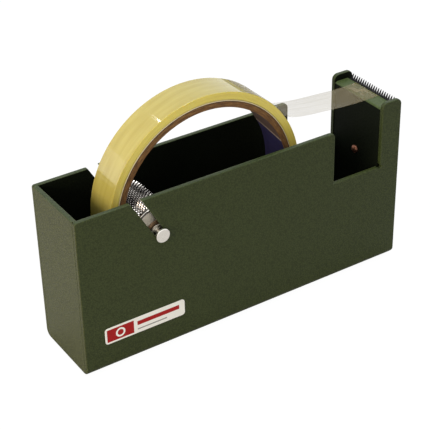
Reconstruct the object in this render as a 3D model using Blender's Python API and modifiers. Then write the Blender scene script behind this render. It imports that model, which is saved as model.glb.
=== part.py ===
"""Desk-top tape dispenser with a knurled roller and a raised cutter.

A folded steel box is open at the top. A spindle lies in two slanted slots and carries a loose
roller. The tape roll stands on the ballast inside the box, round the roller, and its free end
runs to a platform in front of a toothed blade.

Frame: +X from the closed end to the cutter, +Y from front to back, +Z up. The origin is the
middle of the footprint, on the table. Sizes are millimetres, turned to metres by MM.
"""
from math import cos, exp, pi, radians, sin, tan

import bmesh
import bpy
from mathutils import Vector

MM = 0.001

# Box: one folded U of sheet steel
LENGTH = 153.0
WIDTH = 34.5
PANEL_H = 70.5
SHEET = 2.0
FOLD_INNER_R = 1.0
CORNER_R = 1.0
HEEL_R = 2.4

# Finger notch and the columns beside the cutter
COLUMN_W = 9.8
NOTCH_W = 24.4
NOTCH_DEPTH = 23.7
NOTCH_R = 2.0
RELIEF_R = 0.9
EAR_RISE = 5.7
EAR_R = 2.4

# Cutter bracket, blade and their fasteners
PLATFORM_DROP = 2.7
BRACKET_SHEET = 1.8
BRACKET_FOLD_R = 0.8
BRACKET_INSET = 0.3
BRACKET_W = 7.1
INNER_WALL_FOOT = 26.0
BLADE_T = 0.6
BLADE_H = 12.5
BLADE_SEAT = 0.1
BLADE_SIDE_GAP = 0.6
BLADE_RELIEF_R = 3.2
TOOTH_PITCH = 1.42
TOOTH_H = 2.3
TOOTH_ROOT_DROP = 0.3
TOOTH_LEAN = 0.45
TOOTH_BEND_DROP = 0.6
TOOTH_ROOT_SHARE = 0.42
BLADE_SCREW_DROP = 7.5
BLADE_SCREW_SPACING = 18.0
SCREW_R = 1.5
SCREW_HEAD_R = 3.0
SCREW_HEAD_H = 0.9
SCREW_EDGE = 0.5
DRIVER_SLOT_W = 0.7
NUT_T = 2.2
NUT_R = 3.1
RIVET_DROP = 25.9
RIVET_HEAD_R = 2.0
RIVET_HEAD_H = 1.4
RIVET_FACE_R = 2.8

# Ballast and feet
BALLAST_T = 7.6
BALLAST_END = 10.0
BALLAST_SIDE = 0.8
BALLAST_SCREW_R = 2.0
BALLAST_SCREW_HEAD_R = 3.6
BALLAST_SCREW_SHORT = 1.2
BALLAST_SCREW_INSET = 20.0
FOOT_R = 4.5
FOOT_H = 1.2
FOOT_EDGE = 0.4
FOOT_INSET_X = 10.0
FOOT_INSET_Y = 7.5

# Tape roll
CORE_INNER_R = 38.1
CORE_T = 3.0
WOUND_T = 3.3
BOND = 0.1
ROLL_EDGE = 0.25
TAPE_W = 15.0
ROLL_OFFSET_Y = 0.5
ROLL_ROOM = 17.4
TAIL_T = 0.24
TAIL_PEEL = 34.0
TAIL_SKEW = 1.0
TAIL_LIFT = 0.45
TAIL_LAND_GAP = 0.2
TAIL_SHORT = 0.4
TAIL_CURL = 0.3
TAIL_CURL_SPAN = 0.08
TAIL_SAG = 1.8
TAIL_FINE_START = 1.5

# Spindle and roller
SLOT_ANGLE = 30.0
SLOT_PLAY = 0.2
CONTACT_ANGLE = 3.5
AXLE_R = 2.0
STUB_R = 1.3
HEAD_R = 3.0
HEAD_T = 1.2
HEAD_GAP = 0.5
HEAD_EDGE = 0.25
CAP_SKIN = 0.3
WASHER_R = 2.9
WASHER_T = 0.7
WASHER_EDGE = 0.15
WASHER_GAP = 0.4
ROLLER_R = 9.9
ROLLER_GAP = 1.6
ROLLER_CHAMFER = 0.6
BAND_W = 0.75
GROOVE_W = 0.45
GROOVE_DEPTH = 0.6
BUSH_R = 4.4
BUSH_L = 3.0
BUSH_PROUD = 0.25
BUSH_EDGE = 0.3
RUN = 0.06

# Sticker low on the front
LABEL_X = 8.8
LABEL_Z = 11.9
LABEL_W = 36.2
LABEL_H = 7.4
LABEL_CORNER = 1.2
LABEL_T = 0.24
LABEL_GAP = 0.06

GAP = 0.3
FIT = 0.1
THROUGH = 6.0

# Worked out from the sizes above
FOLD_R = FOLD_INNER_R + SHEET
COLUMN_H = PANEL_H + EAR_RISE
NOTCH_X1 = LENGTH - COLUMN_W
NOTCH_X0 = NOTCH_X1 - NOTCH_W
NOTCH_Z = PANEL_H - NOTCH_DEPTH
INNER_W = WIDTH - 2 * SHEET
MIDDLE = WIDTH / 2
PLATFORM_Z = COLUMN_H - PLATFORM_DROP
WALL_X0 = NOTCH_X1 + BRACKET_INSET
WALL_X1 = WALL_X0 + BRACKET_W
BLADE_X = WALL_X1 + BLADE_SEAT
BLADE_SCREW_Z = PLATFORM_Z - BLADE_SCREW_DROP
RIVET_Z = PLATFORM_Z - RIVET_DROP
BALLAST_TOP = SHEET + GAP + BALLAST_T
CORE_OUTER_R = CORE_INNER_R + CORE_T
ROLL_R = CORE_OUTER_R + BOND + WOUND_T
ROLL_X = SHEET + ROLL_ROOM + ROLL_R
ROLL_Y = MIDDLE + ROLL_OFFSET_Y
ROLL_Z = BALLAST_TOP + GAP + ROLL_R
REACH = CORE_INNER_R - ROLLER_R - GAP
SPINDLE_X = ROLL_X - REACH * cos(radians(CONTACT_ANGLE))
SPINDLE_Z = ROLL_Z - REACH * sin(radians(CONTACT_ANGLE))
SLOT_W = 2 * (AXLE_R + SLOT_PLAY)
BORE_R = AXLE_R + RUN

COLLECTION = "tape_dispenser"


# ------------------------------------------------------------------ scene and materials
def clear_scene():
    for ob in list(bpy.data.objects):
        bpy.data.objects.remove(ob, do_unlink=True)
    bpy.context.scene.unit_settings.length_unit = "MILLIMETERS"
    for name in (COLLECTION, "cutters"):
        bpy.context.scene.collection.children.link(bpy.data.collections.new(name))


def material(name, colour, metallic, roughness, alpha=1.0):
    mat = bpy.data.materials.new(name)
    mat.use_nodes = True
    shader = mat.node_tree.nodes["Principled BSDF"]
    shader.inputs["Base Color"].default_value = (*colour, 1.0)
    shader.inputs["Metallic"].default_value = metallic
    shader.inputs["Roughness"].default_value = roughness
    shader.inputs["Alpha"].default_value = alpha
    mat.diffuse_color = (*colour, alpha)
    return mat


def make_materials():
    return {
        "enamel": material("green_enamel", (0.055, 0.070, 0.028), 0.2, 0.40),
        "nickel": material("nickel_plate", (0.62, 0.61, 0.58), 1.0, 0.25),
        "blade": material("blued_steel", (0.03, 0.03, 0.03), 0.9, 0.40),
        "iron": material("raw_steel", (0.20, 0.20, 0.20), 0.9, 0.50),
        "bronze": material("bronze", (0.45, 0.27, 0.14), 1.0, 0.35),
        "copper": material("copper_plate", (0.55, 0.27, 0.18), 1.0, 0.35),
        "card": material("cardboard", (0.25, 0.12, 0.05), 0.0, 0.90),
        "tape": material("yellow_film", (0.72, 0.62, 0.17), 0.0, 0.25),
        "film": material("clear_film", (0.75, 0.74, 0.62), 0.0, 0.20, 0.4),
        "paper": material("label_paper", (0.75, 0.72, 0.65), 0.0, 0.50),
        "rubber": material("black_rubber", (0.02, 0.02, 0.02), 0.0, 0.80),
    }


# ------------------------------------------------------------------ modelling helpers
def place(x, y, z):
    """A point measured from the box's front lower left corner, in the object's frame."""
    return Vector((x - LENGTH / 2, y - WIDTH / 2, z + FOOT_H)) * MM


def link(ob, mat=None, cutter=False):
    bpy.data.collections["cutters" if cutter else COLLECTION].objects.link(ob)
    if mat:
        ob.data.materials.append(mat)
    if cutter:
        ob.hide_render = True
        ob.display_type = "WIRE"
    return ob


def rounded(corners, segments=5):
    """Outline points from corners (u, v, radius), with an arc at each corner that has one."""
    points = []
    for i, (u, v, radius) in enumerate(corners):
        corner = Vector((u, v))
        if not radius:
            points.append(corner)
            continue
        back = (Vector(corners[i - 1][:2]) - corner).normalized()
        ahead = (Vector(corners[(i + 1) % len(corners)][:2]) - corner).normalized()
        half = back.angle(ahead) / 2
        centre = corner + (back + ahead).normalized() * radius / sin(half)
        start = corner + back * radius / tan(half) - centre
        end = corner + ahead * radius / tan(half) - centre
        for k in range(segments + 1):
            points.append(centre + start.slerp(end, k / segments).normalized() * radius)
    return points


def arc(u, v, radius, first, last, segments):
    """Points on an arc about (u, v), angles in degrees from +u."""
    angles = [radians(first + (last - first) * k / segments) for k in range(segments + 1)]
    return [(u + radius * cos(a), v + radius * sin(a)) for a in angles]


def plate(name, outline, side, start, thickness, mat=None, cutter=False):
    """Flat outline as a filled 2D curve, made a mesh and stood up.

    side "y": the outline is (x, z) and the thickness runs along +Y from start.
    side "x": the outline is (y, z) and the thickness runs along +X from start.
    """
    curve = bpy.data.curves.new(name, "CURVE")
    curve.dimensions = "2D"
    curve.fill_mode = "BOTH"
    curve.extrude = thickness / 2 * MM
    spline = curve.splines.new("POLY")
    spline.points.add(len(outline) - 1)
    for point, (u, v) in zip(spline.points, outline):
        point.co = (u * MM, v * MM, 0, 1)
    spline.use_cyclic_u = True
    guide = bpy.data.objects.new(name, curve)
    bpy.context.scene.collection.objects.link(guide)
    mesh = bpy.data.meshes.new_from_object(guide.evaluated_get(bpy.context.evaluated_depsgraph_get()))
    bpy.data.objects.remove(guide, do_unlink=True)
    bm = bmesh.new()
    bm.from_mesh(mesh)
    bmesh.ops.remove_doubles(bm, verts=bm.verts, dist=1e-6)
    bmesh.ops.recalc_face_normals(bm, faces=bm.faces)
    bm.to_mesh(mesh)
    bm.free()
    ob = bpy.data.objects.new(name, mesh)
    middle = start + thickness / 2
    if side == "y":
        ob.rotation_euler = (pi / 2, 0, 0)
        ob.location = place(0, middle, 0)
    else:
        ob.rotation_euler = (pi / 2, 0, pi / 2)
        ob.location = place(middle, 0, 0)
    return link(ob, mat, cutter)


def turned(name, profile, axis, at, mat, steps=40, ring=False):
    """Profile of (radius, height) points, turned about a line through at.

    It runs down its outer side. A ring's profile is closed; any other starts and ends at 0.
    """
    mesh = bpy.data.meshes.new(name)
    edges = [(i, i + 1) for i in range(len(profile) - 1)]
    if ring:
        edges.append((len(profile) - 1, 0))
    mesh.from_pydata([(r * MM, 0, h * MM) for r, h in profile], edges, [])
    ob = link(bpy.data.objects.new(name, mesh), mat)
    ob.location = at
    ob.rotation_euler = {"z": (0, 0, 0), "y": (-pi / 2, 0, 0), "x": (0, pi / 2, 0)}[axis]
    screw = ob.modifiers.new("turn", "SCREW")
    screw.axis = "Z"
    screw.steps = steps
    screw.render_steps = steps
    screw.use_merge_vertices = True
    screw.merge_threshold = 1e-6
    screw.use_smooth_shade = True
    return ob


def turned_about_y(name, profile, at, mat, steps=40, flip=False):
    """A ring turned about Y; flip mirrors it front to back."""
    if flip:
        profile = [(r, -h) for r, h in reversed(profile)]
    return turned(name, profile, "y", at, mat, steps, ring=True)


def box(name, low, high, mat=None, cutter=False):
    """Cuboid between two corners measured from the box's corner."""
    low, high = place(*low), place(*high)
    mesh = bpy.data.meshes.new(name)
    bm = bmesh.new()
    bmesh.ops.create_cube(bm, size=1.0)
    bmesh.ops.scale(bm, vec=high - low, verts=bm.verts)
    bm.to_mesh(mesh)
    bm.free()
    ob = bpy.data.objects.new(name, mesh)
    ob.location = (low + high) / 2
    return link(ob, mat, cutter)


def cylinder(name, radius, axis, at, length, segments=24, mat=None, cutter=False):
    """Cylinder, or a prism with few segments, centred on a point."""
    mesh = bpy.data.meshes.new(name)
    bm = bmesh.new()
    bmesh.ops.create_cone(bm, cap_ends=True, segments=segments, radius1=radius * MM,
                          radius2=radius * MM, depth=length * MM)
    bm.to_mesh(mesh)
    bm.free()
    ob = bpy.data.objects.new(name, mesh)
    ob.location = at
    ob.rotation_euler = {"z": (0, 0, 0), "y": (pi / 2, 0, 0), "x": (0, pi / 2, 0)}[axis]
    return link(ob, mat, cutter)


def boolean(ob, tool, operation="DIFFERENCE"):
    mod = ob.modifiers.new(tool.name, "BOOLEAN")
    mod.operation = operation
    mod.solver = "EXACT"
    mod.object = tool


def bevel(ob, width, segments=1):
    mod = ob.modifiers.new("bevel", "BEVEL")
    mod.width = width * MM
    mod.segments = segments
    mod.limit_method = "ANGLE"
    mod.angle_limit = radians(30)
    return mod


def bevel_along(ob, axis, width, segments=3):
    """Round only the edges that run along one local axis."""
    mesh = ob.data
    weights = mesh.attributes.new("bevel_weight_edge", "FLOAT", "EDGE")
    for edge in mesh.edges:
        a, b = (mesh.vertices[i].co for i in edge.vertices)
        weights.data[edge.index].value = float(abs((b - a).normalized()[axis]) > 0.9)
    bevel(ob, width, segments).limit_method = "WEIGHT"


def folded_sheet(name, low, high, open_sides, thickness, fold_radius, mat):
    """Sheet folded round a cuboid's sides, less the open ones; its faces look outwards."""
    ob = box(name, low, high, mat)
    bm = bmesh.new()
    bm.from_mesh(ob.data)
    bm.normal_update()
    gone = [f for f in bm.faces if any(f.normal.dot(Vector(s)) > 0.9 for s in open_sides)]
    bmesh.ops.delete(bm, geom=gone, context="FACES")
    bm.to_mesh(ob.data)
    bm.free()
    bevel(ob, fold_radius, segments=5)
    sheet = ob.modifiers.new("sheet", "SOLIDIFY")
    sheet.thickness = thickness * MM
    sheet.offset = -1
    sheet.use_even_offset = True
    return ob


# ------------------------------------------------------------------ box
def slot_outline():
    """Slanted slot: a round seat under the spindle, open at the panel's top."""
    reach = (COLUMN_H + THROUGH - SPINDLE_Z) / cos(radians(SLOT_ANGLE))
    seat = arc(SPINDLE_X, SPINDLE_Z, SLOT_W / 2, 180 + SLOT_ANGLE, 360 + SLOT_ANGLE, 8)
    rise = Vector((-sin(radians(SLOT_ANGLE)), cos(radians(SLOT_ANGLE)))) * reach
    return seat + [Vector(seat[-1]) + rise, Vector(seat[0]) + rise]


def make_body_shell(mat):
    shell = folded_sheet("body_shell", (0, 0, 0), (LENGTH, WIDTH, COLUMN_H),
                         ((0, 0, 1), (1, 0, 0), (-1, 0, 0)), SHEET, FOLD_R, mat)
    profile = rounded([(0, 0, 0), (LENGTH, 0, HEEL_R), (LENGTH, COLUMN_H, EAR_R),
                       (NOTCH_X1, COLUMN_H, EAR_R), (NOTCH_X1, NOTCH_Z, 0), (NOTCH_X0, NOTCH_Z, 0),
                       (NOTCH_X0, PANEL_H, NOTCH_R), (0, PANEL_H, CORNER_R)])
    across = WIDTH + 2 * THROUGH
    boolean(shell, plate("side_profile", profile, "y", -THROUGH, across, cutter=True), "INTERSECT")
    boolean(shell, plate("slots", slot_outline(), "y", -THROUGH, across, cutter=True))
    boolean(shell, cylinder("reliefs", RELIEF_R, "y", place(NOTCH_X1, MIDDLE, NOTCH_Z), across, 20,
                            cutter=True))
    for x in ballast_screw_places():
        boolean(shell, cylinder("floor_hole", BALLAST_SCREW_R + GAP, "z", place(x, MIDDLE, 0),
                                2 * THROUGH, cutter=True))


def make_end_plate(mat):
    side = SHEET + GAP
    end = box("end_plate", (0, side, side), (SHEET, WIDTH - side, PANEL_H - FIT), mat)
    bevel_along(end, 0, FOLD_INNER_R + GAP)


def ballast_screw_places():
    first = BALLAST_END + BALLAST_SCREW_INSET
    last = NOTCH_X1 - BALLAST_END / 2 - BALLAST_SCREW_INSET
    return first, last


def make_ballast(iron, nickel):
    side = SHEET + BALLAST_SIDE
    block = box("ballast_block", (BALLAST_END, side, SHEET + GAP),
                (NOTCH_X1 - BALLAST_END / 2, WIDTH - side, BALLAST_TOP), iron)
    bevel(block, FOLD_INNER_R)
    for x, end in zip(ballast_screw_places(), ("left", "right")):
        boolean(block, cylinder("ballast_hole", BALLAST_SCREW_R + GAP, "z",
                                place(x, MIDDLE, BALLAST_TOP / 2), 4 * BALLAST_TOP, cutter=True))
        shank, head, tip = BALLAST_SCREW_R, BALLAST_SCREW_HEAD_R, BALLAST_TOP - BALLAST_SCREW_SHORT
        screw = turned("ballast_screw_" + end,
                       [(0, tip), (shank - SCREW_EDGE, tip), (shank, tip - SCREW_EDGE),
                        (shank, -FIT), (head, -FIT), (head, -SCREW_HEAD_H / 2),
                        (head - SCREW_EDGE, -SCREW_HEAD_H), (0, -SCREW_HEAD_H)],
                       "z", place(x, MIDDLE, 0), nickel, 24)
        half = DRIVER_SLOT_W / 2
        boolean(screw, box("ballast_driver_slot", (x - 2 * head, MIDDLE - half, -FOOT_H - THROUGH),
                           (x + 2 * head, MIDDLE + half, -SCREW_HEAD_H / 2), cutter=True))


def make_feet(mat):
    places = {"left": FOOT_INSET_X, "right": LENGTH - FOOT_INSET_X}
    rows = {"front": FOOT_INSET_Y, "back": WIDTH - FOOT_INSET_Y}
    for row, y in rows.items():
        for end, x in places.items():
            turned("foot_%s_%s" % (row, end),
                   [(0, -FIT), (FOOT_R, -FIT), (FOOT_R, -FOOT_H + FOOT_EDGE),
                    (FOOT_R - FOOT_EDGE, -FOOT_H), (0, -FOOT_H)], "z", place(x, y, 0), mat, 24)


def make_label(mat):
    left, right = LABEL_X, LABEL_X + LABEL_W
    bottom, top = LABEL_Z, LABEL_Z + LABEL_H
    outline = rounded([(u, v, LABEL_CORNER) for u, v in
                       ((left, bottom), (right, bottom), (right, top), (left, top))], 3)
    plate("front_label", outline, "y", -LABEL_T - LABEL_GAP, LABEL_T, mat)


# ------------------------------------------------------------------ cutter
def blade_screw_places():
    return {"front": MIDDLE - BLADE_SCREW_SPACING / 2, "back": MIDDLE + BLADE_SCREW_SPACING / 2}


def make_bracket(mat):
    """Folded down on both sides of the platform; the inner wall stops well above the floor."""
    side, foot = SHEET + GAP, SHEET + FOLD_INNER_R
    bracket = folded_sheet("cutter_bracket", (WALL_X0, side, foot), (WALL_X1, WIDTH - side, PLATFORM_Z),
                           ((0, 0, -1), (0, 1, 0), (0, -1, 0)), BRACKET_SHEET, BRACKET_FOLD_R, mat)
    for vert in bracket.data.vertices:
        if vert.co.x < 0 and vert.co.z < 0:
            vert.co.z += (INNER_WALL_FOOT - foot) * MM
    hole = SCREW_R + FIT
    boolean(bracket, cylinder("rivet_hole", hole, "x", place(WALL_X0, MIDDLE, RIVET_Z),
                              4 * BRACKET_W, cutter=True))
    for y in blade_screw_places().values():
        boolean(bracket, cylinder("bracket_hole", hole, "x", place(WALL_X1, y, BLADE_SCREW_Z),
                                  BRACKET_W, cutter=True))


def blade_outline():
    """Plain strip below, a row of sharp teeth above."""
    teeth = int((INNER_W - 2 * BLADE_SIDE_GAP) / TOOTH_PITCH)
    first = MIDDLE + teeth * TOOTH_PITCH / 2
    low, root = PLATFORM_Z - BLADE_H, PLATFORM_Z - TOOTH_ROOT_DROP
    end = SHEET + BLADE_SIDE_GAP
    outline = [(end, root), (end, low), (WIDTH - end, low), (WIDTH - end, root)]
    for i in range(teeth):
        y = first - (i + 0.5) * TOOTH_PITCH
        reach = TOOTH_ROOT_SHARE * TOOTH_PITCH
        outline += [(y + reach, root), (y, root + TOOTH_H), (y - reach, root)]
    return outline


def make_blade(mat):
    blade = plate("cutter_blade", blade_outline(), "x", BLADE_X, BLADE_T, mat)
    bend = (PLATFORM_Z - TOOTH_BEND_DROP) * MM
    bm = bmesh.new()
    bm.from_mesh(blade.data)
    bmesh.ops.bisect_plane(bm, geom=bm.verts[:] + bm.edges[:] + bm.faces[:], dist=1e-7,
                           plane_co=(0, bend, 0), plane_no=(0, 1, 0))
    for vert in bm.verts:
        vert.co.z += TOOTH_LEAN * max(0.0, vert.co.y - bend)
    bm.to_mesh(blade.data)
    bm.free()
    for y in blade_screw_places().values():
        boolean(blade, cylinder("blade_hole", SCREW_R + FIT, "x", place(BLADE_X, y, BLADE_SCREW_Z),
                                BRACKET_W, cutter=True))
    boolean(blade, cylinder("blade_relief", BLADE_RELIEF_R, "x",
                            place(BLADE_X, MIDDLE, PLATFORM_Z - BLADE_H), BRACKET_W, cutter=True))


def make_blade_screws(mat):
    under = BLADE_T + BLADE_SEAT + FIT
    top = under + SCREW_HEAD_H
    tip = -BRACKET_SHEET - FIT - NUT_T - SCREW_EDGE
    inner_face = WALL_X1 - BRACKET_SHEET - FIT
    half = DRIVER_SLOT_W / 2
    for row, y in blade_screw_places().items():
        screw = turned("blade_screw_" + row,
                       [(0, top), (SCREW_HEAD_R - SCREW_EDGE, top), (SCREW_HEAD_R, top - SCREW_EDGE),
                        (SCREW_HEAD_R, under), (SCREW_R, under), (SCREW_R, tip + SCREW_EDGE),
                        (SCREW_R - SCREW_EDGE, tip), (0, tip)],
                       "x", place(WALL_X1, y, BLADE_SCREW_Z), mat, 24)
        slot_floor = WALL_X1 + top - SCREW_HEAD_H / 2
        boolean(screw, box("driver_slot", (slot_floor, y - half, BLADE_SCREW_Z - 2 * SCREW_HEAD_R),
                           (slot_floor + THROUGH, y + half, BLADE_SCREW_Z + 2 * SCREW_HEAD_R),
                           cutter=True))
        nut_middle = place(inner_face - NUT_T / 2, y, BLADE_SCREW_Z)
        nut = cylinder("blade_nut_" + row, NUT_R, "x", nut_middle, NUT_T, 6, mat)
        boolean(nut, cylinder("nut_bore", SCREW_R + RUN, "x", nut_middle, 3 * NUT_T, cutter=True))


def make_rivet(mat):
    """Rivet through both walls of the bracket: flat head outside, dome inside."""
    inner = WALL_X0 - WALL_X1 - FIT
    outer = FIT + SCREW_HEAD_H
    dome = [(RIVET_HEAD_R * cos(radians(a)), inner - RIVET_HEAD_H * sin(radians(a))) for a in (0, 30, 60)]
    turned("wall_rivet",
           [(0, outer), (RIVET_FACE_R - SCREW_EDGE, outer), (RIVET_FACE_R, outer - SCREW_EDGE),
            (RIVET_FACE_R, FIT), (SCREW_R, FIT), (SCREW_R, inner)] + dome + [(0, inner - RIVET_HEAD_H)],
           "x", place(WALL_X1, MIDDLE, RIVET_Z), mat, 24)


# ------------------------------------------------------------------ spindle and roller
def make_spindle(mat):
    """Axle with its front head, the matching cap at the back, and two washers."""
    at = place(SPINDLE_X, MIDDLE, SPINDLE_Z)
    seat = MIDDLE + HEAD_GAP
    end = seat + HEAD_T
    edge = HEAD_EDGE
    stub_end = end - CAP_SKIN - FIT
    axle = turned("spindle_axle",
                  [(0, stub_end), (STUB_R, stub_end), (STUB_R, seat - FIT), (AXLE_R, seat - FIT),
                   (AXLE_R, -seat), (HEAD_R, -seat), (HEAD_R, edge - end), (HEAD_R - edge, -end),
                   (0, -end)], "y", at, mat)
    cap = turned("axle_cap",
                 [(0, end), (HEAD_R - edge, end), (HEAD_R, end - edge), (HEAD_R, seat),
                  (STUB_R + FIT, seat), (STUB_R + FIT, end - CAP_SKIN), (0, end - CAP_SKIN)],
                 "y", at, mat)
    far = MIDDLE - SHEET - WASHER_GAP
    near = far - WASHER_T
    edge = WASHER_EDGE
    ring = [(BORE_R, far), (WASHER_R - edge, far), (WASHER_R, far - edge), (WASHER_R, near + edge),
            (WASHER_R - edge, near), (BORE_R, near)]
    back = turned_about_y("washer_back", ring, at, mat)
    front = turned_about_y("washer_front", ring, at, mat, flip=True)
    return [axle, cap, back, front]


def make_roller(steel, bronze):
    """Roller with chamfered ends, a bright band, a groove, and a bush pressed in each end."""
    at = place(SPINDLE_X, MIDDLE, SPINDLE_Z)
    end = MIDDLE - SHEET - ROLLER_GAP
    band = end - ROLLER_CHAMFER
    groove = band - BAND_W
    pocket = BUSH_R + FIT
    half = [(pocket, end), (ROLLER_R - ROLLER_CHAMFER, end), (ROLLER_R - FIT, band),
            (ROLLER_R - FIT, groove), (ROLLER_R - GROOVE_DEPTH, groove - FIT),
            (ROLLER_R - GROOVE_DEPTH, groove - GROOVE_W), (ROLLER_R, groove - GROOVE_W - FIT)]
    bore = [(AXLE_R + GAP, end - BUSH_L - FIT), (pocket, end - BUSH_L - FIT)]
    mirrored = [(r, -h) for r, h in reversed(bore + half)]
    roller = turned("roller_drum", bore + half + mirrored, "y", at, steel, 72, ring=True)
    rim = end + BUSH_PROUD
    bush = [(BORE_R, rim), (BUSH_R - BUSH_EDGE, rim), (BUSH_R, rim - BUSH_EDGE),
            (BUSH_R, end - BUSH_L), (BORE_R, end - BUSH_L)]
    back = turned_about_y("bush_back", bush, at, bronze, 48)
    front = turned_about_y("bush_front", bush, at, bronze, 48, flip=True)
    return [roller, back, front]


# ------------------------------------------------------------------ tape
def make_roll(card, tape):
    at = place(ROLL_X, ROLL_Y, ROLL_Z)
    half = TAPE_W / 2
    edge = ROLL_EDGE
    rings = (("tape_core", CORE_INNER_R, CORE_OUTER_R, card),
             ("tape_wound", CORE_OUTER_R + BOND, ROLL_R, tape))
    made = []
    for name, inner, outer, mat in rings:
        side = [(inner, half - edge), (inner + edge, half), (outer - edge, half), (outer, half - edge)]
        profile = side + [(r, -h) for r, h in reversed(side)]
        made.append(turned(name, profile, "y", at, mat, 96, ring=True))
    return made


def make_tail(mat):
    """Loose end of the tape: peels off the roll, sags a little and lies on the platform."""
    lift = ROLL_R + TAIL_LIFT + TAIL_T / 2
    x0 = ROLL_X + lift * cos(radians(TAIL_PEEL))
    drop = ROLL_Z + lift * sin(radians(TAIL_PEEL)) - PLATFORM_Z - TAIL_LAND_GAP - TAIL_T / 2
    x1, x2 = WALL_X0 + BRACKET_FOLD_R, WALL_X1 - TAIL_SHORT
    rest = PLATFORM_Z + TAIL_LAND_GAP + TAIL_T / 2
    mesh = bpy.data.meshes.new("tape_tail")
    tail = link(bpy.data.objects.new("tape_tail", mesh), mat)
    tail.location = place(x0, ROLL_Y, rest)
    bm = bmesh.new()
    bmesh.ops.create_grid(bm, x_segments=28, y_segments=1, size=0.5)
    for vert in bm.verts:
        across = vert.co.y
        along = (vert.co.x + 0.5) ** TAIL_FINE_START
        x = x0 + (x2 - x0) * along
        free = 1 - min(1.0, (x - x0) / (x1 - x0))
        curl = TAIL_CURL * exp((free - 1) / TAIL_CURL_SPAN) * free
        height = drop * (curl + (1 - TAIL_CURL) * free ** TAIL_SAG)
        y = ROLL_Y + across * TAPE_W + TAIL_SKEW * along
        vert.co = place(x, y, rest + height) - tail.location
    bm.to_mesh(mesh)
    bm.free()
    film = tail.modifiers.new("film", "SOLIDIFY")
    film.thickness = TAIL_T * MM
    film.offset = 0
    film.use_even_offset = True


# ------------------------------------------------------------------ moving bodies
def carry(name, at, pieces, parent=None):
    """Empty on a joint's line, with the pieces that move about it parented to it."""
    pivot = bpy.data.objects.new(name, None)
    pivot.empty_display_size = 10 * MM
    bpy.data.collections[COLLECTION].objects.link(pivot)
    pivot.location = at
    if parent:
        pivot.parent = parent
        pivot.location = at - parent.location
    for piece in pieces:
        piece.parent = pivot
        piece.location = piece.location - at
    return pivot


def main():
    clear_scene()
    mats = make_materials()
    make_body_shell(mats["enamel"])
    make_end_plate(mats["enamel"])
    make_ballast(mats["iron"], mats["nickel"])
    make_feet(mats["rubber"])
    make_label(mats["paper"])
    make_bracket(mats["enamel"])
    make_blade(mats["blade"])
    make_blade_screws(mats["nickel"])
    make_rivet(mats["copper"])
    make_tail(mats["film"])
    spindle_at = place(SPINDLE_X, MIDDLE, SPINDLE_Z)
    lift = carry("spindle_lift", spindle_at, make_spindle(mats["nickel"]))
    carry("drum_spin", spindle_at, make_roller(mats["nickel"], mats["bronze"]), lift)
    carry("roll_spin", place(ROLL_X, ROLL_Y, ROLL_Z), make_roll(mats["card"], mats["tape"]), lift)


main()
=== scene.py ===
# %% [markdown]
# # A desk-top tape dispenser
#
# The dispenser is a narrow box of folded steel with green hammered enamel. A knurled roller on a
# loose spindle lies in two slanted slots, the tape roll stands round it, and the tape's free end
# runs to a platform with a toothed blade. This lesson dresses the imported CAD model: flat sheet
# pieces start from copies of the CAD solids, and everything round is modelled again, finer.

# %% Load the frame
from math import atan2, cos, exp, pi, radians, sin

import bmesh
import bpy
from mathutils import Matrix, Vector


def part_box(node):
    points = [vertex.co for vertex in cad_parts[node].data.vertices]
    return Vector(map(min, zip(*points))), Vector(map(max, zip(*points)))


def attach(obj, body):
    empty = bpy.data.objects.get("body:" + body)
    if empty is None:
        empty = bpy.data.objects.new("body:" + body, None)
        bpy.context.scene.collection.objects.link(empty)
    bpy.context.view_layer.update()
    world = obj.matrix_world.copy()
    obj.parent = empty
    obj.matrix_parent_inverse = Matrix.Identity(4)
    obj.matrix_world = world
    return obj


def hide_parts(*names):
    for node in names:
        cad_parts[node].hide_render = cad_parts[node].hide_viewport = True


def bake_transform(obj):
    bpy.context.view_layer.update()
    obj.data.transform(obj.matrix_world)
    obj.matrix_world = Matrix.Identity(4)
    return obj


MM = 0.001
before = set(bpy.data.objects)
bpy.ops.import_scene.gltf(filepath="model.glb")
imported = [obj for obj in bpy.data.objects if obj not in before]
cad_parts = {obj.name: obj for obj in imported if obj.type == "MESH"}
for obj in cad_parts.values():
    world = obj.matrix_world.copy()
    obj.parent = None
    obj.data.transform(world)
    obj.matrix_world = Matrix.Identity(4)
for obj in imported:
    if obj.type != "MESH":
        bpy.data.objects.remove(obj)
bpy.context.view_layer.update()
scene = bpy.context.scene

# %% [markdown]
# ## Camera
#
# The camera looks down at the closed end and the front panel with a long lens, so the box's edges
# stay nearly parallel. A camera could be placed by its coordinates, but two turns about the
# object and a distance are easier to think in and to adjust, so its place is worked out from them.

# %% The camera
AZIMUTH, ELEVATION, ROLL = radians(-32.54), radians(32.04), radians(1.345)
DISTANCE = 0.55466
LENS, SENSOR = 111.43, 36
LOOK_AT = Vector((0.0009, 0.0093, 0.0343))

back = Vector((sin(AZIMUTH) * cos(ELEVATION), -cos(AZIMUTH) * cos(ELEVATION), sin(ELEVATION)))
level = Vector((0, 0, 1)).cross(back).normalized()
upright = back.cross(level)
right = level * cos(ROLL) - upright * sin(ROLL)
up = level * sin(ROLL) + upright * cos(ROLL)

bpy.ops.object.camera_add(location=LOOK_AT + back * DISTANCE)
camera = bpy.context.object
camera.name = "camera"
camera.rotation_euler = Matrix((right, up, back)).transposed().to_euler()
camera.data.lens = LENS
camera.data.sensor_width = SENSOR
scene.camera = camera
print("camera at", tuple(round(c, 3) for c in camera.location))

# %% [markdown]
# ## Studio
#
# The floor is plain and pale. Real product tables are lit from below so that the background
# stays white, and here a little emission that only the camera sees does the same.


# %% Floor
def deselect():
    for item in list(bpy.context.selected_objects):
        item.select_set(False)


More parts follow.
